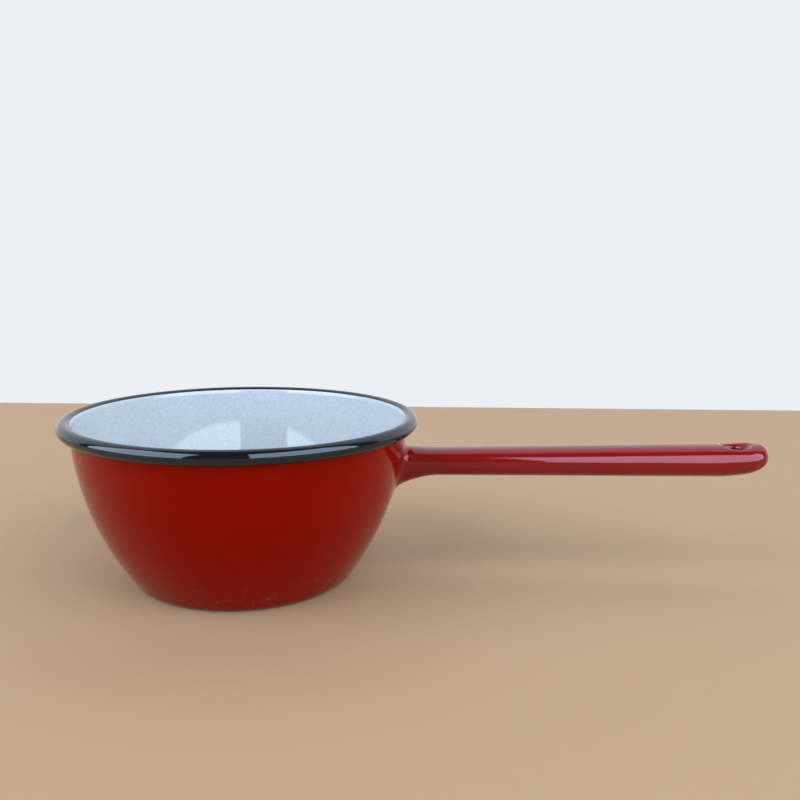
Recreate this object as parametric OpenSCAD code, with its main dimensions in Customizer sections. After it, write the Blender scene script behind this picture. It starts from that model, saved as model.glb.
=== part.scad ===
// Enamelled steel saucepan with one long hollow handle.
// The bowl stands on z = 0 with its axis on Z, and the handle points along +X.
// All sizes are in millimetres.

/* [Bowl] */
// Diameter over the rolled rim
rim_d = 180; // [160:1:200]
// Height from the table to the top of the rim
pan_h = 85; // [76:1:100]
// Diameter of the flat that the bowl stands on
base_d = 104; // [92:1:112]
// Radius of the heel between the flat and the wall
heel_r = 7; // [5:0.5:10]
// Radius of the wall's bow, seen from the side
wall_bow_r = 144; // [120:1:200]
// Thickness of the bowl's steel
bowl_steel_t = 0.8; // [0.6:0.05:1.1]

/* [Rim] */
// Width of the rolled rim, over its enamel
bead_d = 7; // [6:0.1:8]
// Radius of the enamel in the corner under the rolled rim
under_rim_r = 1.5; // [1:0.1:2]

/* [Enamel] */
// Thickness of every enamel coat
coat_t = 0.3; // [0.2:0.05:0.4]

/* [Handle] */
// Length of the handle from the bowl's wall to its tip
handle_len = 192.5; // [170:0.5:220]
// Depth of the handle's seam below the top of the rim
seam_drop = 24; // [22:0.5:30]
// Thickness of the handle's steel
handle_steel_t = 1; // [0.8:0.05:1.2]
// Height of the weld line between the handle's halves
seam_weld_h = 0.6; // [0.4:0.1:0.8]
// Width of the root weld against the bowl
root_weld_leg = 1.6; // [1.2:0.1:1.8]
// Radius of the enamel round the root, where the handle meets the bowl
root_fillet_r = 3; // [2.6:0.1:4]
// Length of the flare at the root
flare_len = 20; // [16:0.5:26]

/* [Handle section] */
// Width of the handle at the root, over the flare
root_w = 21.4; // [21:0.2:26]
// Width that the shank would have at the root without the flare
neck_w = 20.6; // [19:0.2:21]
// Width of the shank at the tip, before it is rounded
end_w = 25.2; // [24:0.2:28]
// Height of the root above the seam, over the flare
root_rise = 7; // [6.6:0.1:8]
// Height of the shank above the seam at the root without the flare
neck_rise = 5.6; // [5:0.1:6.6]
// Height of the shank above the seam at the tip
end_rise = 9.7; // [8.5:0.1:11]
// Depth of the root below the seam, over the flare
root_fall = 14.6; // [11:0.1:17]
// Depth of the shank below the seam at the root without the flare
neck_fall = 8.1; // [7:0.1:9]
// Depth of the shank below the seam at the tip
end_fall = 7.3; // [7:0.1:9]
// Length of the tip's rounding, seen from above
tip_plan_run = 13; // [11:0.5:16]
// Length of the tip's rounding on top, seen from the side
tip_top_run = 5; // [4:0.5:8]
// Length of the tip's rounding underneath, seen from the side
tip_under_run = 28; // [24:0.5:34]
// How far the seam has risen at the tip
tip_lift = 3; // [1:0.1:4]
// Length over which the seam rises to the tip
tip_lift_run = 40; // [32:1:50]

/* [Hanging hole] */
// Diameter of the hole
hole_d = 11; // [9:0.5:12]
// Distance from the hole's centre to the handle's tip
hole_setback = 17; // [16.5:0.5:22]
// Diameter of the dimple round the hole
dimple_d = 17; // [15:0.5:18]
// Depth of the dimple in the top
top_dimple = 2.9; // [1.5:0.1:3.2]
// Depth of the dimple in the underside
under_dimple = 2.7; // [1.2:0.1:3]

/* [Hidden] */

// Angles round the bead, from the outward direction, counted upwards:
// where the black band ends inside and underneath, and where the steel curl stops
band_inner_a = 140;
band_under_a = -90;
curl_end_a = -130;

// Steps of the arcs and rings
heel_steps = 8;
wall_steps = 20;
bead_steps = 24;
corner_steps = 4;
half_ring_steps = 20;
root_fillet_steps = 4;
hole_steps = 12;
tip_steps = 8;
round_fn = 96;

// Shape of the handle's section and flare
section_power = 2.3;
flare_power = 2;
tip_power = 2;

// Rings along the handle: shares of the flare, of the plain shank, and of the dimple's radius
flare_shares = [0.25, 0.38, 0.53, 0.7, 0.88];
shank_shares = [0, 0.33, 0.66];
dimple_reach_share = 1.1;

// Share of a ring's step that the small flat end of the tip takes
tip_flat_share = 0.8;

// How far cuts run past the faces they cut
overrun = 1;

// Depths under the outer skin
bowl_inside = coat_t + bowl_steel_t;
handle_inside = coat_t + handle_steel_t;

// The bead, the heel and the wall, as circles in the half section of the bowl
bead_r = bead_d / 2;
bead_steel_r = bead_r - coat_t;
curl_hollow_r = bead_steel_r - bowl_steel_t;
bead_c = [rim_d / 2 - bead_r, pan_h - bead_r];
heel_c = [base_d / 2, heel_r];
wall_c = circles_cross(heel_c, wall_bow_r - heel_r, bead_c, wall_bow_r - bowl_inside + bead_steel_r);
wall_low_a = heading(wall_c, heel_c);
wall_top_a = heading(wall_c, bead_c);

// The enamel in the corner under the bead touches the wall and the bead
corner_c = circles_cross(bead_c, bead_r + under_rim_r, wall_c, wall_bow_r + under_rim_r);

// The handle's seam and hole
seam_z = pan_h - seam_drop;
root_x = wall_r(seam_z, 0);
hole_u = handle_len - hole_setback;
hole_x = root_x + hole_u;
hole_r = hole_d / 2;
collar_r = hole_r + coat_t;
top_lip = shank_size(neck_rise, end_rise, hole_u) - top_dimple;
under_lip = shank_size(neck_fall, end_fall, hole_u) - under_dimple;

// Rings along the handle, as distances from the wall
dimple_reach = dimple_reach_share * dimple_d / 2;
shank_start = flare_len;
shank_end = hole_u - dimple_reach;
tip_start = hole_u + dimple_reach;
shank_rings = concat(
    [for (share = flare_shares) flare_len * share],
    [for (share = shank_shares) shank_start + (shank_end - shank_start) * share],
    [for (i = [0 : hole_steps]) shank_end + (tip_start - shank_end) * i / hole_steps],
    [for (i = [1 : tip_steps])
        tip_start + (handle_len - tip_start) * sin(90 * i / (tip_steps + tip_flat_share))]);

// A crossing of two circles: the one on the left of the way from p to q
function circles_cross(p, rp, q, rq) =
    let (gap = norm(q - p),
         along = (rp * rp - rq * rq + gap * gap) / (2 * gap),
         across = sqrt(rp * rp - along * along),
         way = (q - p) / gap)
    p + along * way + across * [-way[1], way[0]];

// Direction from p to q
function heading(p, q) = atan2(q[1] - p[1], q[0] - p[0]);

// Point of a circle at an angle
function spot(centre, r, a) = centre + r * [cos(a), sin(a)];

// Points of an arc from one angle to another, from step first to the last
function arc(centre, r, from, to, steps, first = 0) =
    [for (i = [first : steps]) spot(centre, r, from + (to - from) * i / steps)];

function reversed(points) = [for (i = [len(points) - 1 : -1 : 0]) points[i]];

// The bowl's line at a depth under its outer skin: the flat, the heel, and the wall up to an angle
function bowl_line(depth, top_a) = concat(
    [[0, depth]],
    arc(heel_c, heel_r - depth, -90, wall_low_a, heel_steps),
    arc(wall_c, wall_bow_r - depth, wall_low_a, top_a, wall_steps, 1));

// Radius of the bowl at a height, at a depth under its outer skin
function wall_r(z, depth) = wall_c[0] + sqrt(pow(wall_bow_r - depth, 2) - pow(z - wall_c[1], 2));

// Angle of the wall's arc at a height and a depth
function wall_a(z, depth) = asin((z - wall_c[1]) / (wall_bow_r - depth));

// Distance of the wall from the bowl's middle plane, at a place beside and above
function wall_x(y, z, depth) = sqrt(pow(wall_r(z, depth), 2) - y * y);

// A shank size that runs evenly from the root to the tip
function shank_size(at_root, at_tip, u) = at_root + (at_tip - at_root) * u / handle_len;

// The flare fades from 1 at the wall to 0 at its end
function flare(u) = pow(max(0, 1 - u / flare_len), flare_power);

// Rounding of the tip: 1 on the shank, 0 at the tip, as a quarter of an oval
function tip_round(u, run) =
    let (v = max(0, (u - handle_len + run) / run))
    pow(max(0, 1 - pow(v, tip_power)), 1 / tip_power);

// How far the seam has risen towards the tip at a distance from the wall
function lift(u) = tip_lift * pow(max(0, (u - handle_len + tip_lift_run) / tip_lift_run), 2);

// Half width, rise and fall of the handle at a distance from the wall, at a depth under its skin:
// the seam's lift takes from the rise and adds to the fall
function half_w(u, depth) =
    (shank_size(neck_w, end_w, u) / 2 + (root_w - neck_w) / 2 * flare(u) - depth)
    * tip_round(u, tip_plan_run);
function rise(u, depth) =
    (shank_size(neck_rise, end_rise, u) + (root_rise - neck_rise) * flare(u) - depth - lift(u))
    * tip_round(u, tip_top_run);
function fall(u, depth) =
    (shank_size(neck_fall, end_fall, u) + (root_fall - neck_fall) * flare(u) - depth + lift(u))
    * tip_round(u, tip_under_run);

// A sine or cosine swollen to the squarer oval of the section
function swell(v) = sign(v) * pow(abs(v), 2 / section_power);

// Share of the full height that is left at a distance from the hole's centre
function dimple_share(r) =
    let (v = min(1, max(0, (r - hole_r) / (dimple_d / 2 - hole_r))))
    v * v * (3 - 2 * v);

// Height above the seam after the dimple has drawn it to its lip
function dimpled(h, lip, r) = lip + (h - lip) * dimple_share(r);

// One point of the handle's skin: at ring u, at angle t round the section, at a depth under the
// skin, swollen by grow, where the ring at u = 0 lies on the wall at wall_depth
function skin_point(u, t, up, depth, wall_depth, grow) =
    let (edge = seam_weld_h / 2,
         tall = (up ? rise(u, depth) : fall(u, depth)) + grow,
         y = (half_w(u, depth) + grow) * swell(cos(t)),
         h0 = edge + max(0, tall - edge) * swell(abs(sin(t))),
         x0 = root_x + u * (handle_len - depth) / handle_len,
         lip = (up ? top_lip - lift(u) : under_lip + lift(u)) - depth,
         h = dimpled(h0, lip, norm([x0 - hole_x, y])),
         z = seam_z + lift(u) + (up ? h : -h),
         pull = max(0, 1 - u / flare_len),
         x = x0 + (wall_x(y, z, wall_depth) - root_x) * pull)
    [x, y, z];

// Half a ring, from one flank over the top or the underside to the other
function half_ring(u, up, depth, wall_depth, grow = 0) =
    [for (i = [0 : half_ring_steps])
        skin_point(u, 180 * i / half_ring_steps, up, depth, wall_depth, grow)];

// A whole ring: over the top from +Y to -Y, and back underneath
function ring(u, depth, wall_depth, grow = 0) = concat(
    half_ring(u, true, depth, wall_depth, grow),
    reversed(half_ring(u, false, depth, wall_depth, grow)));

// Outline of a ring, seen along X
function seen_along_x(points) = [for (p = points) [p[1], p[2]]];

// Faces of a band between ring a and ring b of n points each, as triangles
function band_faces(a, b, n) = [
    for (i = [0 : n - 1])
        let (j = (i + 1) % n)
        each [[a * n + i, b * n + i, a * n + j], [a * n + j, b * n + i, b * n + j]]];

// A solid skinned over a chain of rings, capped at both ends
module skinned(rings) {
    n = len(rings[0]);
    last = len(rings) - 1;
    polyhedron(
        points = [for (r = rings) each r],
        faces = concat(
            [[for (i = [0 : n - 1]) i]],
            [for (k = [0 : last - 1]) each band_faces(k, k + 1, n)],
            [[for (i = [n - 1 : -1 : 0]) last * n + i]]));
}

// A hoop skinned over a chain of rings whose last ring meets the first
module hoop(rings) {
    n = len(rings[0]);
    count = len(rings);
    polyhedron(
        points = [for (r = rings) each r],
        faces = [for (k = [0 : count - 1]) each band_faces(k, (k + 1) % count, n)]);
}

// One pressed half of the handle: an outer and an inner skin, joined at the root, along the
// seam and behind the tip
module pressed_half(up) {
    us = concat([0, root_weld_leg, root_fillet_r], shank_rings);
    m = len(us);
    n = half_ring_steps + 1;
    outer = [for (u = us) half_ring(u, up, coat_t, coat_t)];
    inner = [for (u = us) half_ring(u, up, handle_inside, coat_t)];
    base = m * n;
    last = (m - 1) * n;
    skins = [
        for (k = [0 : m - 2], i = [0 : n - 2])
            let (a = k * n + i, b = a + n)
            each [[a, b, a + 1], [a + 1, b, b + 1],
                  [base + a, base + a + 1, base + b], [base + a + 1, base + b + 1, base + b]]];
    root = [
        for (i = [0 : n - 2])
            each [[i, i + 1, base + i], [i + 1, base + i + 1, base + i]]];
    seams = [
        for (k = [0 : m - 2])
            let (a = k * n, b = a + n, c = a + n - 1, d = b + n - 1)
            each [[a, base + a, b], [b, base + a, base + b],
                  [c, d, base + c], [d, base + d, base + c]]];
    tip = [
        [for (i = [n - 1 : -1 : 0]) last + i],
        [for (i = [0 : n - 1]) base + last + i],
        [last, base + last, base + last + n - 1, last + n - 1]];
    all_faces = concat(skins, root, seams, tip);
    polyhedron(
        points = concat([for (r = outer) each r], [for (r = inner) each r]),
        faces = up ? all_faces : [for (f = all_faces) reversed(f)]);
}

// A pressed half with the collar round the hanging hole, which meets the other half's collar
module half_with_hole(up) {
    collar_h = (up ? top_lip : under_lip) - coat_t - handle_steel_t / 2;
    difference() {
        union() {
            pressed_half(up);
            translate([hole_x, 0, up ? seam_z : seam_z - collar_h])
                cylinder(r = collar_r + handle_steel_t, h = collar_h, $fn = round_fn);
        }
        translate([hole_x, 0, seam_z - under_lip - overrun])
            cylinder(r = collar_r, h = top_lip + under_lip + 2 * overrun, $fn = round_fn);
    }
}

// Drawn steel bowl, its edge rolled outward into a hollow bead
module bowl_pressing() {
    color("slategray")
        rotate_extrude($fn = round_fn)
            polygon(concat(
                bowl_line(coat_t, wall_top_a),
                arc(bead_c, curl_hollow_r, 180 + wall_top_a, curl_end_a, bead_steps, 1),
                arc(bead_c, bead_steel_r, curl_end_a, 180 + wall_top_a, bead_steps),
                reversed(arc(wall_c, wall_bow_r - bowl_inside, wall_low_a, wall_top_a, wall_steps)),
                reversed(arc(heel_c, heel_r - bowl_inside, -90, wall_low_a, heel_steps)),
                [[0, bowl_inside]]));
}

// Red coat outside and under the bowl, open where the handle is welded on
module outer_enamel() {
    curl_tip = spot(bead_c, curl_hollow_r, curl_end_a);
    color("firebrick")
        difference() {
            rotate_extrude($fn = round_fn)
                polygon(concat(
                    bowl_line(0, heading(wall_c, corner_c)),
                    arc(corner_c, under_rim_r, heading(corner_c, wall_c), heading(corner_c, bead_c),
                        corner_steps, 1),
                    arc(bead_c, bead_r, heading(bead_c, corner_c), band_under_a, 1, 1),
                    arc(bead_c, bead_steel_r, band_under_a, curl_end_a, corner_steps),
                    [curl_tip],
                    reversed(bowl_line(coat_t, wall_a(curl_tip[1], coat_t)))));
            root_opening();
        }
}

// The opening in the red coat where the root weld and its own coat reach the steel
module root_opening() {
    depth = rim_d / 2;
    translate([depth / 2, 0, 0])
        rotate([90, 0, 90])
            linear_extrude(height = depth)
                polygon(seen_along_x(ring(0, 0, 0, root_fillet_r)));
}

// Pale speckled coat inside the bowl, up to the black band
module inner_enamel() {
    depth = bowl_inside + coat_t;
    color("lightsteelblue")
        rotate_extrude($fn = round_fn)
            polygon(concat(
                bowl_line(bowl_inside, wall_top_a),
                arc(bead_c, bead_steel_r, 180 + wall_top_a, band_inner_a, corner_steps, 1),
                arc(bead_c, bead_r, band_inner_a, 180 + wall_top_a, corner_steps),
                reversed(arc(wall_c, wall_bow_r - depth, wall_low_a, wall_top_a, wall_steps)),
                reversed(arc(heel_c, heel_r - depth, -90, wall_low_a, heel_steps)),
                [[0, depth]]));
}

// Black band over the rolled rim
module rim_enamel() {
    color("black")
        rotate_extrude($fn = round_fn)
            polygon(concat(
                arc(bead_c, bead_r, band_under_a, band_inner_a, bead_steps),
                arc(bead_c, bead_steel_r, band_inner_a, band_under_a, bead_steps)));
}

// Steel halves of the hollow handle
module handle_upper_half() {
    color("darkgray") half_with_hole(true);
}

module handle_lower_half() {
    color("gray") half_with_hole(false);
}

// Across the weld line on the flank at angle t: its outer edges and its inner edges
function weld_ring(u, t) = [
    skin_point(u, t, false, coat_t, coat_t, 0),
    skin_point(u, t, true, coat_t, coat_t, 0),
    skin_point(u, t, true, handle_inside, coat_t, 0),
    skin_point(u, t, false, handle_inside, coat_t, 0)];

// Weld line between the halves, along both flanks and round the tip
module handle_seam_weld() {
    us = concat([0, root_weld_leg, root_fillet_r], shank_rings);
    color("dimgray")
        skinned(concat(
            [for (u = us) weld_ring(u, 0)],
            [for (u = reversed(us)) weld_ring(u, 180)]));
}

// Weld bead between the handle's root and the bowl's steel
module handle_root_weld() {
    color("dimgray")
        hoop([ring(0, coat_t, coat_t),
              ring(0, coat_t, coat_t, root_weld_leg),
              ring(root_weld_leg, coat_t, coat_t)]);
}

// Red coat over the handle and the root weld, open where the hanging hole goes through
module handle_enamel() {
    us = concat([root_fillet_r], shank_rings);
    color("crimson")
        difference() {
            skinned(concat(
                [for (u = reversed(us)) ring(u, coat_t, coat_t)],
                [ring(root_weld_leg, coat_t, coat_t),
                 ring(0, coat_t, coat_t, root_weld_leg),
                 ring(0, 0, coat_t, root_fillet_r)],
                [for (i = [0 : root_fillet_steps - 1])
                    let (a = 90 * i / root_fillet_steps)
                    ring(root_fillet_r * (1 - cos(a)), 0, 0, root_fillet_r * (1 - sin(a)))],
                [for (u = us) ring(u, 0, 0)]));
            translate([hole_x, 0, seam_z - under_lip - overrun])
                cylinder(r = collar_r, h = top_lip + under_lip + 2 * overrun, $fn = round_fn);
        }
}

// Red coat inside the hanging hole, from lip to lip
module hole_enamel() {
    color("crimson")
        translate([hole_x, 0, seam_z - under_lip])
            difference() {
                cylinder(r = collar_r, h = top_lip + under_lip, $fn = round_fn);
                translate([0, 0, -overrun])
                    cylinder(r = hole_r, h = top_lip + under_lip + 2 * overrun, $fn = round_fn);
            }
}

bowl_pressing();
outer_enamel();
inner_enamel();
rim_enamel();
handle_upper_half();
handle_lower_half();
handle_seam_weld();
handle_root_weld();
handle_enamel();
hole_enamel();
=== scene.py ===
"""Enamelled steel saucepan with a hollow handle: the finish of every surface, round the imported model.

All lengths are in metres. The bowl's axis is Z, it stands on z = 0, and the handle points along +X.
"""

import bpy
import numpy as np
from mathutils import Matrix, Vector


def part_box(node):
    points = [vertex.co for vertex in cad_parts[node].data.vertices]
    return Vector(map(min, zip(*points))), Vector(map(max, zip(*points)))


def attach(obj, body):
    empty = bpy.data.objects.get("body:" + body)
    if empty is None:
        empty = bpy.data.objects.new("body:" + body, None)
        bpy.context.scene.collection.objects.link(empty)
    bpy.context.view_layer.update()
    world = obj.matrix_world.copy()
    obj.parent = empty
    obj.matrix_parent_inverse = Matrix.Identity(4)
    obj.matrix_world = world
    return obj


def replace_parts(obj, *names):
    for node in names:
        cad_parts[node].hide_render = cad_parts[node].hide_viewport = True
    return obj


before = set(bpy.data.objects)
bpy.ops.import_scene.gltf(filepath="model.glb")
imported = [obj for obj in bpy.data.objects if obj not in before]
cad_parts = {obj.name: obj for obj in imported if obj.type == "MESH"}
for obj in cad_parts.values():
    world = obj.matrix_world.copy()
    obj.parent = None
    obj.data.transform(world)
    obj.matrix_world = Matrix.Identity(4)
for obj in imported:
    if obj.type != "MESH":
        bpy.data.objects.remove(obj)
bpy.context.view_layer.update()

MM = 0.001

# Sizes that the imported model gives. At the seam the handle has an upright edge, SEAM_EDGE to each side
rim_low, rim_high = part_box("rim_enamel")
hole_low, hole_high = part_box("hole_enamel")
seam_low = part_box("handle_seam_weld")[0]
RIM_R = min(rim_high.x, rim_high.y, -rim_low.x, -rim_low.y)
PAN_H = rim_high.z
BEAD_R = (rim_high.z - rim_low.z) / 2
SEAM_EDGE = 0.3 * MM
SEAM_Z = seam_low.z + SEAM_EDGE
TIP_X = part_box("handle_enamel")[1].x
HOLE_X = (hole_low.x + hole_high.x) / 2
TOP_LIP = hole_high.z - SEAM_Z
UNDER_LIP = SEAM_Z - hole_low.z

# The bowl
COAT_T = 0.3 * MM
STEEL_T = 0.8 * MM
BASE_R = 52 * MM
HEEL_R = 7 * MM
WALL_BOW_R = 144 * MM
UNDER_RIM_R = 1.5 * MM
BAND_INNER_A = np.radians(140)
BAND_UNDER_A = np.radians(-90)
CURL_END_A = np.radians(-130)

# The handle: widths and heights at the root with its flare, at the root without it, and at the tip
# without its rounding. Its section is an oval of SECTION_POWER, squarer than one of power 2
ROOT_W, NECK_W, END_W = 21.4 * MM, 20.6 * MM, 25.2 * MM
ROOT_RISE, NECK_RISE, END_RISE = 7 * MM, 5.6 * MM, 9.7 * MM
ROOT_FALL, NECK_FALL, END_FALL = 14.6 * MM, 8.1 * MM, 7.3 * MM
SECTION_POWER = 2.3
FLARE_LEN = 20 * MM
ROOT_FILLET_R = 3 * MM
ROOT_FOOT = 1.6 * MM

# How long the tip's rounding is, seen from above, on top and underneath, and how its seam lifts
TIP_PLAN_RUN, TIP_TOP_RUN, TIP_UNDER_RUN = 13 * MM, 5 * MM, 28 * MM
TIP_LIFT, TIP_LIFT_RUN = 3 * MM, 40 * MM

# The hanging hole, its dimple, and its lip, whose curve is pulled by LIP_PULL_SHARE of its room
HOLE_R = (hole_high.x - hole_low.x) / 2 - COAT_T
DIMPLE_R = 9.2 * MM
LIP_ROUND = 0.5 * MM
LIP_PULL_SHARE = 0.5

# The steel pieces under the enamel, which show their own solids
STEEL_NODES = ("bowl_pressing", "handle_upper_half", "handle_lower_half",
               "handle_seam_weld", "handle_root_weld")

# The finishes: how much of the written red is kept, how strongly each coat mirrors and in what tint,
# how strongly the bowl's low marks show and how high they reach, and how deep the skins' waves are
BOWL_RED_DEPTH, BOWL_RED_IOR, BOWL_RED_TINT = 0.96, 1.34, (1, 0.3, 0.12)
# The handle's red is a copy of the bowl's same enamel with its base kept darker: a painted shade
HANDLE_RED_SHADED_DEPTH, HANDLE_RED_IOR, HANDLE_RED_TINT = 0.82, 1.72, (1, 0.52, 0.68)
PALE_IOR = 1.6
BLACK_IOR, BLACK_TINT = 1.68, (0.7, 0.84, 1)
# The bowl's low marks are partly real scuffs and partly a painted reflection of the table
BOWL_SCUFF_AND_REFLECTION_SHARE, SCUFF_AND_REFLECTION_BAND_H = 0.6, 20 * MM
RED_WAVE, PALE_WAVE, BLACK_WAVE, STEEL_STREAK = 0.05 * MM, 0.03 * MM, 0.03 * MM, 0.01 * MM

# The stage: its sizes, its tones in linear light, and the faint clouds that darken it to a share
FLOOR_GAP = 0.05 * MM
FLOOR_FRONT_Y = -6
WALL_Y, WALL_BEND_R, WALL_H, STAGE_HALF_W = 0.8, 0.3, 3.6, 4
FLOOR_TONE = (0.4, 0.26, 0.155)
WALL_TONE = (0.81, 0.83, 0.85)
WALL_SEEN_TONE = (0.84, 0.87, 0.91)
STAGE_CLOUD, STAGE_CLOUD_SHARE = 0.4, 0.985

# The light: two window-like lamps, each between two headings in degrees from +Y towards +X, with
# WINDOW_WATTS for each square metre, and an even world
WINDOW_AWAY, WINDOW_LOW, WINDOW_HIGH = 2.4, 0.2, 4.2
LEFT_WINDOW = (-154, -88)
RIGHT_WINDOW = (98, 167)
WINDOW_WATTS, DAYLIGHT = 12.6, (0.8, 0.89, 1)
WORLD_TONE, WORLD_LEVEL = (0.9, 0.95, 1), 0.18

# The photograph's camera, as fitted: its place, its angles in radians, its lens and sensor in
# millimetres, and the nearest that it sees
CAMERA_PLACE = (72.49 * MM, -411.09 * MM, 161.4 * MM)
CAMERA_HEADING, CAMERA_PITCH, CAMERA_ROLL = np.radians(1.161), 0.1671, 0.0135
CAMERA_LENS, SENSOR_W = 36.225, 36
CLIP_START = 10 * MM

# Steps of the surfaces
AROUND_BOWL = 256
HEEL_STEPS, WALL_STEPS, CORNER_STEPS, BEAD_STEPS = 14, 64, 10, 60
AROUND_HANDLE = 144
ROOT_STEPS, WELD_STEPS, FLARE_STEPS, SHANK_STEPS, TIP_STEPS = 12, 3, 30, 60, 44
LIP_STEPS, TUBE_STEPS = 10, 12
BEND_STEPS = 24
OUTLINE_STEPS = 720

# Half widths, in cells, of the grid blocks that are opened at the root and at the hole, how many of
# its half widths the hole's opening fades over, and the columns in the middle of the hole's blocks
ROOT_BLOCK, HOLE_BLOCK = 8, 10
HOLE_REACH = 1.6
TOP_COL, UNDER_COL = 3 * AROUND_HANDLE // 4, AROUND_HANDLE // 4

# Points that round to the same SAME_PLACE are one, edges that bend more than SHARP_A stay sharp, and
# the dimple's slope is taken over SLOPE_STEP
SAME_PLACE = 1e-7
SHARP_A = np.radians(50)
SLOPE_STEP = 0.05 * MM


def circles_cross(p, rp, q, rq):
    """Crossing of two circles round p and q, on the left of the way from p to q: along the line
    of centres by the power of the two circles, then square to it by what is left."""
    gap = np.linalg.norm(q - p)
    along = (rp**2 - rq**2 + gap**2) / (2 * gap)
    across = np.sqrt(rp**2 - along**2)
    way = (q - p) / gap
    return p + along * way + across * np.array([-way[1], way[0]])


def heading(p, q):
    """Angle of the way from p to q."""
    return np.arctan2(q[1] - p[1], q[0] - p[0])


def arc(centre, r, start, end, steps):
    """Points of an arc: the centre plus r times the cosine and sine of evenly spaced angles."""
    a = np.linspace(start, end, steps + 1)
    return centre + r * np.stack([np.cos(a), np.sin(a)], -1)


def smooth_step(v):
    """0 below 0, 1 above 1, and 3 v squared less 2 v cubed between."""
    v = np.clip(v, 0, 1)
    return v * v * (3 - 2 * v)


# The half section of the bowl as circles
bead_c = np.array([RIM_R - BEAD_R, PAN_H - BEAD_R])
heel_c = np.array([BASE_R, HEEL_R])
wall_c = circles_cross(heel_c, WALL_BOW_R - HEEL_R, bead_c, WALL_BOW_R - STEEL_T - 2 * COAT_T + BEAD_R)
corner_c = circles_cross(bead_c, BEAD_R + UNDER_RIM_R, wall_c, WALL_BOW_R + UNDER_RIM_R)
WALL_LOW_A = heading(wall_c, heel_c)
WALL_TOP_A = heading(wall_c, bead_c)


def wall_radius(z, depth=0.0):
    """Radius of the bowl at a height: from the bow's centre, the root of the square of the bow's
    radius less the depth, less the square of the height over that centre."""
    return wall_c[0] + np.sqrt((WALL_BOW_R - depth) ** 2 - (z - wall_c[1]) ** 2)


def bowl_line(depth, top_a):
    """The bowl's line from the middle outwards and up: the flat, the heel's arc and the wall's arc."""
    flat = np.linspace([0, depth], [BASE_R, depth], HEEL_STEPS)
    heel = arc(heel_c, HEEL_R - depth, -np.pi / 2, WALL_LOW_A, HEEL_STEPS)
    wall = arc(wall_c, WALL_BOW_R - depth, WALL_LOW_A, top_a, WALL_STEPS)
    return np.concatenate([flat, heel[1:], wall[1:]])


ROOT_X = wall_radius(SEAM_Z)
HANDLE_LEN = TIP_X - ROOT_X
HOLE_U = HOLE_X - ROOT_X


def grid_faces(rows, cols, keep=None):
    """Quads of a grid of points, wound so that the way along the rows crossed with the way along
    the columns is outward. keep says which cells stay."""
    i, j = np.meshgrid(np.arange(rows - 1), np.arange(cols - 1), indexing="ij")
    if keep is not None:
        i, j = i[keep], j[keep]
    a = (i * cols + j).ravel()
    return np.stack([a, a + cols, a + cols + 1, a + 1], -1)


def closed_piece(name, grids, material):
    """One mesh from several grids of points that meet along their edges. Points that round to the
    same tenth of a micrometre become one, so poles and seams close, and quads that lose a corner
    become triangles. Each grid is its points, and which of its cells stay, or None."""
    points, quads, count = [], [], 0
    for grid, keep in grids:
        points.append(grid.reshape(-1, 3))
        quads.append(grid_faces(*grid.shape[:2], keep) + count)
        count += len(points[-1])
    points, quads = np.concatenate(points), np.concatenate(quads)
    _, first, same = np.unique(np.round(points / SAME_PLACE).astype(np.int64), axis=0,
                               return_index=True, return_inverse=True)
    points, quads = points[first], same.reshape(-1)[quads]
    lost = quads == np.roll(quads, -1, axis=1)
    whole = quads[~lost.any(1)]
    part = quads[lost.sum(1) == 1]
    part = part[~lost[lost.sum(1) == 1]].reshape(-1, 3)
    mesh = bpy.data.meshes.new(name)
    mesh.vertices.add(len(points))
    mesh.vertices.foreach_set("co", points.astype(np.float32).ravel())
    corners = np.concatenate([whole.ravel(), part.ravel()])
    starts = np.concatenate([np.arange(len(whole)) * 4, len(whole) * 4 + np.arange(len(part)) * 3])
    mesh.loops.add(len(corners))
    mesh.loops.foreach_set("vertex_index", corners.astype(np.int32))
    mesh.polygons.add(len(starts))
    mesh.polygons.foreach_set("loop_start", starts.astype(np.int32))
    mesh.update(calc_edges=True)
    mesh.validate()
    mesh.shade_smooth()
    mesh.set_sharp_from_angle(angle=SHARP_A)
    mesh.materials.append(material)
    piece = bpy.data.objects.new(name, mesh)
    bpy.context.scene.collection.objects.link(piece)
    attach(piece, "root")
    return piece


def turned(line):
    """A line of radius and height turned once round Z, from -X by +Y, the handle's side and -Y: the
    radius times the cosine and sine of an even turn."""
    a = np.linspace(np.pi, -np.pi, AROUND_BOWL + 1)
    a[-1] = a[0]
    r, z = line[:, :1], line[:, 1:]
    return np.stack([r * np.cos(a), r * np.sin(a), z + 0 * a], -1)


def handle_size(at_root, at_tip, u):
    """A size of the plain shank: the root's, plus its change by the share of the way to the tip."""
    return at_root + (at_tip - at_root) * u / HANDLE_LEN


def flare(u):
    """The square of what is left of the way to the flare's end: 1 at the wall and 0 past that end."""
    return np.clip(1 - u / FLARE_LEN, 0, 1) ** 2


def tip_round(u, run):
    """1 on the shank and 0 at the tip: the root of 1 less the square of the way along the run."""
    return np.sqrt(np.clip(1 - np.clip((u - HANDLE_LEN + run) / run, 0, 1) ** 2, 0, 1))


def lift(u):
    """How far the seam has risen towards the tip, as the square of the way along the lift's run."""
    return TIP_LIFT * np.clip((u - HANDLE_LEN + TIP_LIFT_RUN) / TIP_LIFT_RUN, 0, None) ** 2


def half_width(u, depth):
    """Half the handle's width at a distance from the wall: the shank's, plus the flare's part, less
    the depth, times the tip's rounding."""
    plain = handle_size(NECK_W, END_W, u) / 2
    return (plain + (ROOT_W - NECK_W) / 2 * flare(u) - depth) * tip_round(u, TIP_PLAN_RUN)


def rise(u, depth):
    """Height of the handle's top over the seam: the shank's, plus the flare's part, less the depth
    and the seam's lift, times the tip's rounding."""
    plain = handle_size(NECK_RISE, END_RISE, u)
    return (plain + (ROOT_RISE - NECK_RISE) * flare(u) - depth - lift(u)) * tip_round(u, TIP_TOP_RUN)


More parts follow.
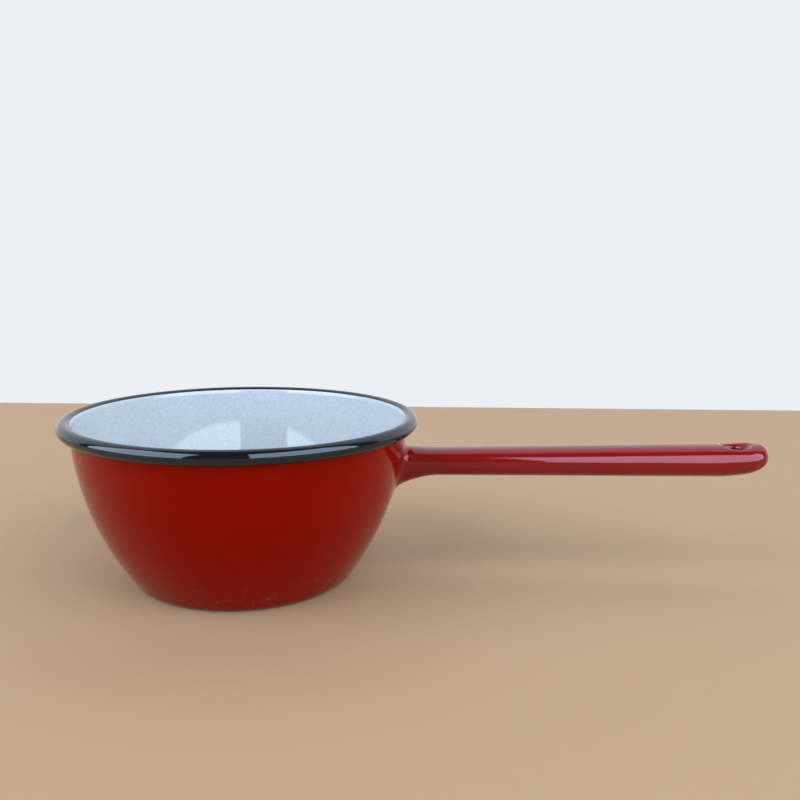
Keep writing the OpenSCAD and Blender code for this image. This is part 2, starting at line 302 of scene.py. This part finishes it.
def fall(u, depth):
    """Depth of the handle's underside below the seam: the shank's, plus the flare's part and the
    seam's lift, less the depth, times the tip's rounding."""
    plain = handle_size(NECK_FALL, END_FALL, u)
    return (plain + (ROOT_FALL - NECK_FALL) * flare(u) - depth + lift(u)) * tip_round(u, TIP_UNDER_RUN)


def swell(v):
    """A sine or cosine swollen to the squarer oval: its sign times its size to 2 over the power."""
    return np.sign(v) * np.abs(v) ** (2 / SECTION_POWER)


def dimpled(height, lip, r):
    """Height over the seam after the dimple has drawn it to its lip. The share of the full height
    is 1 less the square of what is left of the way outwards, so it is steep at the hole."""
    left = np.clip((DIMPLE_R - r) / (DIMPLE_R - HOLE_R), 0, 1)
    return lip + (height - lip) * (1 - left**2)


def handle_skin(u, t, depth, wall_depth, grow=0.0):
    """Points of the handle's skin at distance u from the wall and angle t round the section: a
    swollen oval of half width by rise or fall, all grown alike, parted by the low upright edge at
    the seam, drawn in at the dimple, and slid along X near the root so that the ring at u = 0 lies
    on the bowl's wall."""
    up = np.sin(t) >= 0
    tall = np.where(up, rise(u, depth), fall(u, depth)) + grow
    y = (half_width(u, depth) + grow) * swell(np.cos(t))
    x = ROOT_X + u * (HANDLE_LEN - depth) / HANDLE_LEN
    lip = np.where(up, TOP_LIP - lift(u), UNDER_LIP + lift(u)) - depth
    height = SEAM_EDGE + np.maximum(tall - SEAM_EDGE, 0) * swell(np.abs(np.sin(t)))
    height = dimpled(height, lip, np.hypot(x - HOLE_X, y))
    z = SEAM_Z + lift(u) + np.where(up, height, -height)
    on_wall = np.sqrt(np.clip(wall_radius(z, wall_depth) ** 2 - y**2, 0, None))
    return np.stack([x + (on_wall - ROOT_X) * np.clip(1 - u / FLARE_LEN, 0, 1), y, z], -1)


def height_over_seam(x, y, up, depth):
    """Height of the handle's skin over the root's seam level, or its depth below that on the
    underside, at a place seen from above and away from the root: the section's oval again, solved
    for its height at a share of the half width."""
    u = (x - ROOT_X) * HANDLE_LEN / (HANDLE_LEN - depth)
    tall, raised = (rise(u, depth), lift(u)) if up else (fall(u, depth), -lift(u))
    share = np.clip(np.abs(y) / half_width(u, depth), 0, 1)
    oval = (1 - share**SECTION_POWER) ** (1 / SECTION_POWER)
    height = SEAM_EDGE + np.maximum(tall - SEAM_EDGE, 0) * oval
    return dimpled(height + raised, (TOP_LIP if up else UNDER_LIP) - depth, np.hypot(x - HOLE_X, y))


def opened(here, p, q, outline, reach):
    """Moves flat points so that a square block of a grid takes the shape of an outline. p and q run
    from -1 to 1 over the block, and m is the larger of the two in size. A point goes to m times the
    outline's point in the direction of p and q, and that fades by a smooth step from m = 1 to reach."""
    m = np.maximum(np.abs(p), np.abs(q))[..., None]
    fade = 1 - smooth_step((m - 1) / (reach - 1))
    return fade * outline(np.arctan2(q, p)) * m + (1 - fade) * here


def block_edge(rows, cols):
    """Row and column numbers round the edge of a block, once round and back to the start."""
    (a, b), (c, d) = rows, cols
    i = np.concatenate([np.full(d - c, a), np.arange(a, b), np.full(d - c, b), np.arange(b, a, -1), [a]])
    j = np.concatenate([np.arange(c, d), np.full(b - a, d), np.arange(d, c, -1), np.full(b - a, c), [c]])
    return i, j


def outside_block(shape, rows, cols):
    """Cells of a grid that don't lie in the block."""
    keep = np.ones((shape[0] - 1, shape[1] - 1), bool)
    keep[rows[0]:rows[1], cols[0]:cols[1]] = False
    return keep


def root_ends():
    """Heights of the lowest and the highest point of the root's outline on the wall."""
    return handle_skin(0.0, np.array([3 * np.pi / 2, np.pi / 2]), 0, 0, ROOT_FILLET_R)[:, 2]


def root_outline(angle, centre):
    """The way from the centre to the root's outline on the wall, in Y and Z, at each angle: the
    skin's ring at the wall, its radius read off between its points."""
    t = np.linspace(0, 2 * np.pi, OUTLINE_STEPS + 1)
    ring = handle_skin(np.zeros_like(t), t, 0, 0, ROOT_FILLET_R)[:, 1:] - centre
    around = np.unwrap(np.arctan2(ring[:, 1], ring[:, 0]))
    r = np.hypot(ring[:, 0], ring[:, 1])
    turn = around[0] + np.mod(angle - around[0], 2 * np.pi)
    r = np.interp(turn, around, r)
    return r[..., None] * np.stack([np.cos(angle), np.sin(angle)], -1)


def wall_with_opening(depth, rows, cols):
    """The bowl's line at a depth turned round Z, with a block of its grid opened to the root's
    outline in Y and Z and set back on the wall. The move has faded out at the wall's top edge."""
    line = bowl_line(depth, heading(wall_c, corner_c))
    skin = turned(line)
    centre = np.array([0, root_ends().mean()])
    row, col = np.meshgrid(np.arange(skin.shape[0]), np.arange(skin.shape[1]), indexing="ij")
    half = (rows[1] - rows[0]) / 2
    p = (sum(cols) / 2 - col) / ((cols[1] - cols[0]) / 2)
    q = (row - sum(rows) / 2) / half
    reach = (len(line) - 1 - sum(rows) / 2) / half
    near = np.maximum(np.abs(p), np.abs(q)) < reach
    here = skin[near][:, 1:] - centre
    y, z = (opened(here, p[near], q[near], lambda a: root_outline(a, centre), reach) + centre).T
    skin[near] = np.stack([np.sqrt(wall_radius(z, depth) ** 2 - y**2), y, z], -1)
    return skin


def outer_coat(material):
    """Red coat outside and under the bowl: its outer line, up into the corner under the bead and to
    the black band, and its inner line a coat deeper, turned round Z and open at the handle's root."""
    line = bowl_line(0, heading(wall_c, corner_c))
    low, high = root_ends()
    in_root = np.flatnonzero((line[:, 1] > low) & (line[:, 1] < high))
    rows = (in_root[0], in_root[-1])
    cols = (AROUND_BOWL // 2 - ROOT_BLOCK, AROUND_BOWL // 2 + ROOT_BLOCK)
    outer, inner = wall_with_opening(0, rows, cols), wall_with_opening(COAT_T, rows, cols)
    keep = outside_block(outer.shape, rows, cols)
    loop = block_edge(rows, cols)
    corner = arc(corner_c, UNDER_RIM_R, heading(corner_c, wall_c), heading(corner_c, bead_c), CORNER_STEPS)
    under = arc(bead_c, BEAD_R, heading(bead_c, corner_c), BAND_UNDER_A, CORNER_STEPS)
    back = arc(bead_c, BEAD_R - COAT_T, BAND_UNDER_A, CURL_END_A, CORNER_STEPS)
    collar = turned(np.concatenate([corner, under[1:], back]))
    collar = np.concatenate([outer[-1:], collar[1:], inner[-1:]])
    edge = np.stack([outer[loop], inner[loop]])
    grids = [(outer, keep), (collar, None), (inner[::-1], keep[::-1]), (edge, None)]
    return closed_piece("outer_coat", grids, material)


def inner_coat(material):
    """Pale coat inside the bowl: the wall's line, over onto the bead up to the black band, and back
    a coat deeper, turned round Z."""
    inside = COAT_T + STEEL_T
    bead_steel_side = arc(bead_c, BEAD_R - COAT_T, np.pi + WALL_TOP_A, BAND_INNER_A, CORNER_STEPS)
    bead_face = arc(bead_c, BEAD_R, BAND_INNER_A, np.pi + WALL_TOP_A, CORNER_STEPS)
    line = np.concatenate([bowl_line(inside, WALL_TOP_A), bead_steel_side[1:],
                           bead_face, bowl_line(inside + COAT_T, WALL_TOP_A)[::-1][1:]])
    return closed_piece("inner_coat", [(turned(line), None)], material)


def rim_coat(material):
    """Black band over the rolled rim: an arc on the bead and back a coat deeper, turned round Z."""
    line = np.concatenate([arc(bead_c, BEAD_R, BAND_UNDER_A, BAND_INNER_A, BEAD_STEPS),
                           arc(bead_c, BEAD_R - COAT_T, BAND_INNER_A, BAND_UNDER_A, BEAD_STEPS)])
    band = turned(np.concatenate([line, line[:1]]))
    return closed_piece("rim_coat", [(band, None)], material)


def handle_rows(hole_step):
    """Distances from the wall of the rings past the root's fillet: even steps over the flare and
    the shank, finer ones over the dimple, and a sine's steps at the tip. The hole's row is given too."""
    reach = DIMPLE_R + 2 * hole_step
    half = int(np.ceil(reach / hole_step))
    hole = HOLE_U + hole_step * np.arange(-half, half + 1)
    flare_part = np.linspace(ROOT_FILLET_R, FLARE_LEN, FLARE_STEPS + 1)[:-1]
    shank = np.linspace(FLARE_LEN, hole[0], SHANK_STEPS + 1)[:-1]
    tip = hole[-1] + (HANDLE_LEN - hole[-1]) * np.sin(np.linspace(0, np.pi / 2, TIP_STEPS + 1))
    rows = np.concatenate([flare_part, shank, hole, tip[1:]])
    return rows, len(flare_part) + len(shank) + half


def handle_face(us, t, hole_row, depth):
    """The handle's skin at a depth with its two blocks at the hole opened to a circle of the hole's
    radius and its lip's rounding, and the heights there worked out again from above."""
    skin = handle_skin(us[:, None], t[None, :], depth, depth)
    row, col = np.meshgrid(np.arange(len(us)), np.arange(len(t)), indexing="ij")

    def circle(a):
        return (HOLE_R + depth + LIP_ROUND) * np.stack([np.cos(a), np.sin(a)], -1)

    for up, middle in ((True, TOP_COL), (False, UNDER_COL)):
        p = (row - hole_row) / HOLE_BLOCK
        q = (col - middle) / HOLE_BLOCK * (1 if up else -1)
        near = np.maximum(np.abs(p), np.abs(q)) < HOLE_REACH
        here = skin[near][:, :2] - [HOLE_X, 0]
        x, y = (opened(here, p[near], q[near], circle, HOLE_REACH) + [HOLE_X, 0]).T
        height = height_over_seam(x, y, up, depth)
        skin[near] = np.stack([x, y, SEAM_Z + (height if up else -height)], -1)
    return skin


def round_hole(radius, angle, z):
    """Points at a radius and an angle round the hole's axis and at a height, the arrays made alike."""
    radius, angle, z = np.broadcast_arrays(radius, angle, z)
    return np.stack([HOLE_X + radius * np.cos(angle), radius * np.sin(angle), z], -1)


def hole_lip(edge, angle, r, end_z, drop, up):
    """Rings from an opened block's edge round the lip: a cubic curve by four points, which are the
    edge, one further in along the dimple's slope, one straight out of the tube's end, and that end."""
    reach = np.hypot(edge[:, 0] - HOLE_X, edge[:, 1])
    sign = 1 if up else -1

    def height_at(radius):
        x, y, _ = round_hole(radius, angle, 0).T
        return height_over_seam(x, y, up, 0.0)

    slope = (height_at(reach + SLOPE_STEP) - height_at(reach)) / SLOPE_STEP
    run = (reach - r) * LIP_PULL_SHARE
    s = np.linspace(0, 1, LIP_STEPS + 1)[:, None]
    weights = [(1 - s) ** 3, 3 * (1 - s) ** 2 * s, 3 * (1 - s) * s**2, s**3]
    radii = [reach, reach - run, r, r]
    heights = [edge[:, 2], edge[:, 2] - sign * slope * run, end_z + sign * drop * LIP_PULL_SHARE, end_z]
    radius = sum(w * v for w, v in zip(weights, radii))
    z = sum(w * v for w, v in zip(weights, heights))
    return round_hole(radius, angle, z)


def hole_tube(skin, rows, top_cols, under_cols, r, drop):
    """The tube between the two opened blocks of a skin: from the top block's edge round the lip,
    straight down, and round the lip underneath to the lower block's edge."""
    i, j = block_edge(rows, top_cols)
    top = skin[i, j]
    under = skin[i, top_cols[0] + under_cols[1] - j]
    angle = np.arctan2(top[:, 1], top[:, 0] - HOLE_X)
    high, low = SEAM_Z + TOP_LIP - drop, SEAM_Z - UNDER_LIP + drop
    straight = round_hole(r, angle, np.linspace(high, low, TUBE_STEPS + 1)[1:-1, None])
    return np.concatenate([hole_lip(top, angle, r, high, drop, True), straight,
                           hole_lip(under, angle, r, low, drop, False)[::-1]])


def handle_coat(material):
    """Red coat over the handle: its outer skin with the fillet onto the bowl, its inner skin a coat
    deeper, the foot that joins them on the bowl's steel, and both skins' tubes through the hole."""
    t = np.linspace(2 * np.pi, 0, AROUND_HANDLE + 1)
    a = np.linspace(0, np.pi / 2, ROOT_STEPS + 1)[:-1, None]
    us, hole_row = handle_rows(HOLE_R / HOLE_BLOCK)
    fillet = handle_skin(ROOT_FILLET_R * (1 - np.cos(a)), t[None, :], 0, 0, ROOT_FILLET_R * (1 - np.sin(a)))
    outer = np.concatenate([fillet, handle_face(us, t, hole_row, 0)])
    weld_u = np.linspace(ROOT_FOOT, ROOT_FILLET_R, WELD_STEPS + 1)[:-1, None]
    weld_side = handle_skin(weld_u, t[None, :], COAT_T, COAT_T)
    inner = np.concatenate([weld_side, handle_face(us, t, hole_row, COAT_T)])
    foot = np.stack([handle_skin(0.0, t, COAT_T, COAT_T, ROOT_FOOT),
                     handle_skin(0.0, t, 0, COAT_T, ROOT_FILLET_R)])
    for skin in (outer, inner, foot):
        skin[:, -1] = skin[:, 0]
    grids = [(np.concatenate([inner[:1], foot, outer[:1]]), None)]
    under_cols = (UNDER_COL - HOLE_BLOCK, UNDER_COL + HOLE_BLOCK)
    top_cols = (TOP_COL - HOLE_BLOCK, TOP_COL + HOLE_BLOCK)
    for skin, depth, first in ((outer, 0.0, len(fillet)), (inner, COAT_T, len(weld_side))):
        rows = (first + hole_row - HOLE_BLOCK, first + hole_row + HOLE_BLOCK)
        keep = outside_block(skin.shape, rows, top_cols) & outside_block(skin.shape, rows, under_cols)
        tube = hole_tube(skin, rows, top_cols, under_cols, HOLE_R + depth, LIP_ROUND + 2 * depth)
        if depth:
            grids += [(skin[::-1], keep[::-1]), (tube[::-1], None)]
        else:
            grids += [(skin, keep), (tube, None)]
    return closed_piece("handle_coat", grids, material)


class Socket:
    """An output socket of a shader node that can stand in sums and products."""

    def __init__(self, maker, socket):
        self.maker, self.socket = maker, socket

    def _math(self, operation, a, b):
        return self.maker.add("ShaderNodeMath", {"operation": operation}, {0: a, 1: b})

    def __add__(self, other):
        return self._math("ADD", self, other)

    __radd__ = __add__

    def __mul__(self, other):
        return self._math("MULTIPLY", self, other)

    __rmul__ = __mul__


class Finish:
    """A material's node tree, with one method that adds any node."""

    def __init__(self, name):
        self.material = bpy.data.materials.new(name)
        self.material.use_nodes = True
        self.tree = self.material.node_tree
        self.shader = self.tree.nodes["Principled BSDF"]
        self.place = self.add("ShaderNodeTexCoord", {}, {}, "Object")

    def add(self, kind, settings, inputs, output=0):
        """A node of a kind, with its settings set first, and then its sockets' values or links."""
        node = self.tree.nodes.new(kind)
        for key, value in settings.items():
            if key == "stops":
                self.set_stops(node.color_ramp, value)
            else:
                setattr(node, key, value)
        for key, value in inputs.items():
            self.feed(node.inputs[key], value)
        return Socket(self, node.outputs[output])

    def other(self, socket, output):
        """Another output of the node that a socket belongs to."""
        return Socket(self, socket.socket.node.outputs[output])

    def feed(self, target, value):
        """Links a socket to another, or sets its value."""
        if isinstance(value, Socket):
            self.tree.links.new(value.socket, target)
        else:
            target.default_value = value

    def set_stops(self, ramp, stops):
        """Gives a ramp its stops: place and grey level of each."""
        while len(ramp.elements) < len(stops):
            ramp.elements.new(0.5)
        for element, (place, level) in zip(ramp.elements, stops):
            element.position = place
            element.color = (level, level, level, 1)

    def noise(self, size, detail=2.0, roughness=0.5):
        """Noise whose features are about as wide as size, from 0 to 1."""
        return self.add("ShaderNodeTexNoise", {}, {
            "Vector": self.place, "Scale": 1 / size, "Detail": detail, "Roughness": roughness})

    def cells(self, size):
        """Distance from the middle of random cells about as wide as size."""
        return self.add("ShaderNodeTexVoronoi", {}, {"Vector": self.place, "Scale": 1 / size})

    def ramp(self, factor, stops):
        """A factor sent through a ramp of grey stops."""
        return self.add("ShaderNodeValToRGB", {"stops": stops}, {0: factor})

    def mix(self, factor, a, b):
        """Colour a where the factor is 0 and b where it is 1."""
        return self.add("ShaderNodeMix", {"data_type": "RGBA"}, {0: factor, 6: a, 7: b}, 2)

    def bump(self, height, distance):
        """A bump of a height field, as deep as distance."""
        return self.add("ShaderNodeBump", {}, {"Height": height, "Distance": distance})

    def finish(self, constants, **varying):
        """Sets the shader's own sockets, and links what varies over the surface."""
        for key, value in constants.items():
            self.shader.inputs[key].default_value = value
        for key, value in varying.items():
            self.feed(self.shader.inputs[key.replace("_", " ")], value)
        return self.material


def colour(r, g, b):
    """A colour in linear light."""
    return (r, g, b, 1)


def pinholes(look):
    """Mask of fine pinholes, at the middles of random cells and only where a slower noise is high."""
    middles = look.ramp(look.cells(2.6 * MM), [(0.055, 1), (0.085, 0)])
    return middles * look.ramp(look.noise(6 * MM), [(0.6, 0), (0.7, 1)])


def low_scuffs_and_painted_reflection(look):
    """Mask of small soft marks in loose groups, low down on the bowl near the table: partly real scuffs,
    partly a painted reflection of the table.
    """
    height = look.other(look.add("ShaderNodeSeparateXYZ", {}, {0: look.place}), 2)
    low_down = look.ramp(height * (1 / SCUFF_AND_REFLECTION_BAND_H), [(0.1, 0), (0.2, 1), (0.45, 1), (0.9, 0)])
    scuff_and_reflection_marks = look.ramp(look.noise(3 * MM, 4, 0.7), [(0.52, 0), (0.68, 1)])
    groups = look.ramp(look.noise(12 * MM), [(0.5, 0), (0.62, 1)])
    return scuff_and_reflection_marks * groups * low_down


def red_enamel(name, depth, ior, tint, scuff_and_reflection_share=0.0):
    """Deep red glass with slow clouds, a few fine dark pinholes and a glassy, slightly wavy skin. A
    smaller depth darkens it, and its mirrored light has a tint. With a share of low marks, it has
    small pale brown and duller ones low down: partly real scuffs, partly a painted reflection of the table."""
    look = Finish(name)
    dark, light = colour(0.18 * depth, 0.0016, 0.0006), colour(0.22 * depth, 0.0028, 0.0009)
    # The pale brown of the low marks stands partly for real scuffs and partly for a painted reflection of
    # the table
    pinhole_tone, scuff_and_reflection_tone = colour(0.07, 0.001, 0.001), colour(0.36, 0.13, 0.1)
    base = look.mix(look.noise(22 * MM, 3), dark, light)
    base = look.mix(pinholes(look) * 0.6, base, pinhole_tone)
    roughness = look.noise(14 * MM, 3) * 0.05 + 0.035
    # Low marks, paler brown and duller: partly real scuffs, partly a painted reflection of the table
    if scuff_and_reflection_share:
        scuff_and_reflection_mask = low_scuffs_and_painted_reflection(look) * scuff_and_reflection_share
        base = look.mix(scuff_and_reflection_mask * 0.5, base, scuff_and_reflection_tone)
        roughness = roughness + scuff_and_reflection_mask * 0.3
    peel = look.noise(9 * MM, 2) + look.noise(2.2 * MM, 1) * 0.08
    return look.finish({"IOR": ior, "Specular Tint": colour(*tint)},
                       Base_Color=base, Roughness=roughness, Normal=look.bump(peel, RED_WAVE))


def speckled_enamel():
    """Pale blue-grey glass with soft mottling and many fine darker speckles."""
    look = Finish("speckled_enamel")
    dark, light = colour(0.37, 0.42, 0.475), colour(0.5, 0.54, 0.575)
    speck_tone = colour(0.2, 0.26, 0.38)
    mottle = look.ramp(look.noise(1.3 * MM, 5, 0.7), [(0.32, 0), (0.68, 1)])
    specks = look.ramp(look.cells(0.8 * MM), [(0.1, 1), (0.2, 0)])
    groups = look.ramp(look.noise(2.4 * MM, 2), [(0.45, 0), (0.6, 1)])
    base = look.mix(specks * groups * 0.4, look.mix(mottle, dark, light), speck_tone)
    roughness = look.noise(12 * MM, 3) * 0.05 + 0.03
    peel = look.noise(8 * MM, 2) + look.noise(2 * MM, 1) * 0.1
    return look.finish({"IOR": PALE_IOR},
                       Base_Color=base, Roughness=roughness, Normal=look.bump(peel, PALE_WAVE))


def black_enamel():
    """Blue-black glass with faint clouds and a slightly wavy skin."""
    look = Finish("black_enamel")
    dark, light = colour(0.001, 0.001, 0.003), colour(0.002, 0.002, 0.006)
    base = look.mix(look.noise(10 * MM, 3), dark, light)
    roughness = look.noise(9 * MM, 3) * 0.04 + 0.02
    peel = look.noise(7 * MM, 2) + look.noise(1.8 * MM, 1) * 0.08
    return look.finish({"IOR": BLACK_IOR, "Specular Tint": colour(*BLACK_TINT)},
                       Base_Color=base, Roughness=roughness, Normal=look.bump(peel, BLACK_WAVE))


def bare_steel():
    """Pressed steel under the enamel: grey metal with fine drawn streaks, thin upwards."""
    look = Finish("bare_steel")
    dark, light = colour(0.36, 0.36, 0.37), colour(0.5, 0.5, 0.51)
    stretch = look.add("ShaderNodeMapping", {}, {"Vector": look.place, "Scale": (30, 30, 400)})
    streaks = look.add("ShaderNodeTexNoise", {}, {"Vector": stretch, "Scale": 3.0, "Detail": 4.0})
    return look.finish({"Metallic": 1.0}, Base_Color=look.mix(streaks, dark, light),
                       Roughness=streaks * 0.2 + 0.3, Normal=look.bump(streaks, STEEL_STREAK))


def stage_finish(name, tone, seen=None):
    """A matt finish for the stage, with barely seen clouds. Where seen is given, the camera and
    mirrored rays see that even tone instead."""
    look = Finish(name)
    shade = colour(*(level * STAGE_CLOUD_SHARE for level in tone))
    base = look.mix(look.noise(STAGE_CLOUD, 2), shade, colour(*tone))
    material = look.finish({"Roughness": 0.8, "IOR": 1.3}, Base_Color=base)
    if seen:
        ray = look.add("ShaderNodeLightPath", {}, {}, "Is Camera Ray")
        direct = ray + look.other(ray, "Is Glossy Ray") + look.other(ray, "Is Transmission Ray")
        glow = look.add("ShaderNodeEmission", {}, {"Color": colour(*seen), "Strength": 1.0})
        lit = Socket(look, look.shader.outputs[0])
        shown = look.add("ShaderNodeMixShader", {}, {0: direct, 1: lit, 2: glow})
        look.feed(look.tree.nodes["Material Output"].inputs["Surface"], shown)
    return material


def stage_piece(name, points, tone, seen=None):
    """A smooth sheet of the stage from a grid of points."""
    mesh = bpy.data.meshes.new(name)
    mesh.from_pydata(points.reshape(-1, 3).tolist(), [], grid_faces(*points.shape[:2]).tolist())
    mesh.shade_smooth()
    mesh.materials.append(stage_finish(name, tone, seen))
    piece = bpy.data.objects.new(name, mesh)
    bpy.context.scene.collection.objects.link(piece)


def make_stage():
    """A flat warm floor, and a pale wall behind: a quarter circle out of the floor, then upright."""
    y, x = np.meshgrid([WALL_Y - WALL_BEND_R, FLOOR_FRONT_Y], [-STAGE_HALF_W, STAGE_HALF_W], indexing="ij")
    stage_piece("floor", np.stack([x, y, 0 * x - FLOOR_GAP], -1), FLOOR_TONE)
    a = np.linspace(-np.pi / 2, 0, BEND_STEPS + 1)
    y = np.concatenate([WALL_Y - WALL_BEND_R * (1 - np.cos(a)), [WALL_Y]])
    z = np.concatenate([WALL_BEND_R * (1 + np.sin(a)), [WALL_H]]) - FLOOR_GAP
    y, x = np.meshgrid(y[::-1], [-STAGE_HALF_W, STAGE_HALF_W], indexing="ij")
    z = np.broadcast_to(z[::-1, None], x.shape)
    stage_piece("back_wall", np.stack([x, y, z], -1), WALL_TONE, WALL_SEEN_TONE)


def make_camera():
    """The photograph's camera, from its fitted place, heading, pitch, roll and focal length."""
    level = Vector((np.cos(CAMERA_HEADING), -np.sin(CAMERA_HEADING), 0))
    onward = Vector((np.sin(CAMERA_HEADING), np.cos(CAMERA_HEADING), 0))
    ahead = onward * np.cos(CAMERA_PITCH) - Vector((0, 0, 1)) * np.sin(CAMERA_PITCH)
    upright = level.cross(ahead)
    right = level * np.cos(CAMERA_ROLL) + upright * np.sin(CAMERA_ROLL)
    up = right.cross(ahead)
    data = bpy.data.cameras.new("camera")
    data.sensor_width = SENSOR_W
    data.lens = CAMERA_LENS
    data.clip_start = CLIP_START
    camera = bpy.data.objects.new("camera", data)
    turn = Matrix((right, up, -ahead)).transposed()
    camera.matrix_world = Matrix.Translation(CAMERA_PLACE) @ turn.to_4x4()
    bpy.context.scene.collection.objects.link(camera)
    bpy.context.scene.camera = camera


def make_window(name, from_a, to_a):
    """An upright rectangular lamp like a window, seen from the pan between two headings, which go
    from +Y towards +X."""
    middle, half = np.radians((from_a + to_a) / 2), np.radians(abs(to_a - from_a) / 2)
    way = Vector((np.sin(middle), np.cos(middle), 0))
    data = bpy.data.lights.new(name, "AREA")
    data.shape = "RECTANGLE"
    data.size, data.size_y = 2 * WINDOW_AWAY * np.tan(half), WINDOW_HIGH - WINDOW_LOW
    data.energy = WINDOW_WATTS * data.size * data.size_y
    data.color = DAYLIGHT
    lamp = bpy.data.objects.new(name, data)
    lamp.location = way * WINDOW_AWAY + Vector((0, 0, (WINDOW_LOW + WINDOW_HIGH) / 2))
    lamp.rotation_euler = way.to_track_quat("Z", "Y").to_euler()
    lamp.visible_camera = False
    bpy.context.scene.collection.objects.link(lamp)


def make_light():
    """Two window-like lamps, one to each side behind the camera, and an even, dimmer world."""
    make_window("window_left", *LEFT_WINDOW)
    make_window("window_right", *RIGHT_WINDOW)
    world = bpy.data.worlds.new("world")
    world.use_nodes = True
    background = world.node_tree.nodes["Background"]
    background.inputs["Color"].default_value = colour(*WORLD_TONE)
    background.inputs["Strength"].default_value = WORLD_LEVEL
    bpy.context.scene.world = world


make_camera()
make_stage()
make_light()
steel = bare_steel()
for node in STEEL_NODES:
    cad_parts[node].data.materials.clear()
    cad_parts[node].data.materials.append(steel)
bowl_red = red_enamel("bowl_red", BOWL_RED_DEPTH, BOWL_RED_IOR, BOWL_RED_TINT, BOWL_SCUFF_AND_REFLECTION_SHARE)
# The handle gets a darker copy of the bowl's red enamel: a painted shade
handle_red_shaded_copy = red_enamel("handle_red_shaded_copy", HANDLE_RED_SHADED_DEPTH, HANDLE_RED_IOR, HANDLE_RED_TINT)
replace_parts(outer_coat(bowl_red), "outer_enamel")
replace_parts(inner_coat(speckled_enamel()), "inner_enamel")
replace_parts(rim_coat(black_enamel()), "rim_enamel")
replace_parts(handle_coat(handle_red_shaded_copy), "handle_enamel", "hole_enamel")

bpy.context.scene.view_settings.view_transform = "Standard"
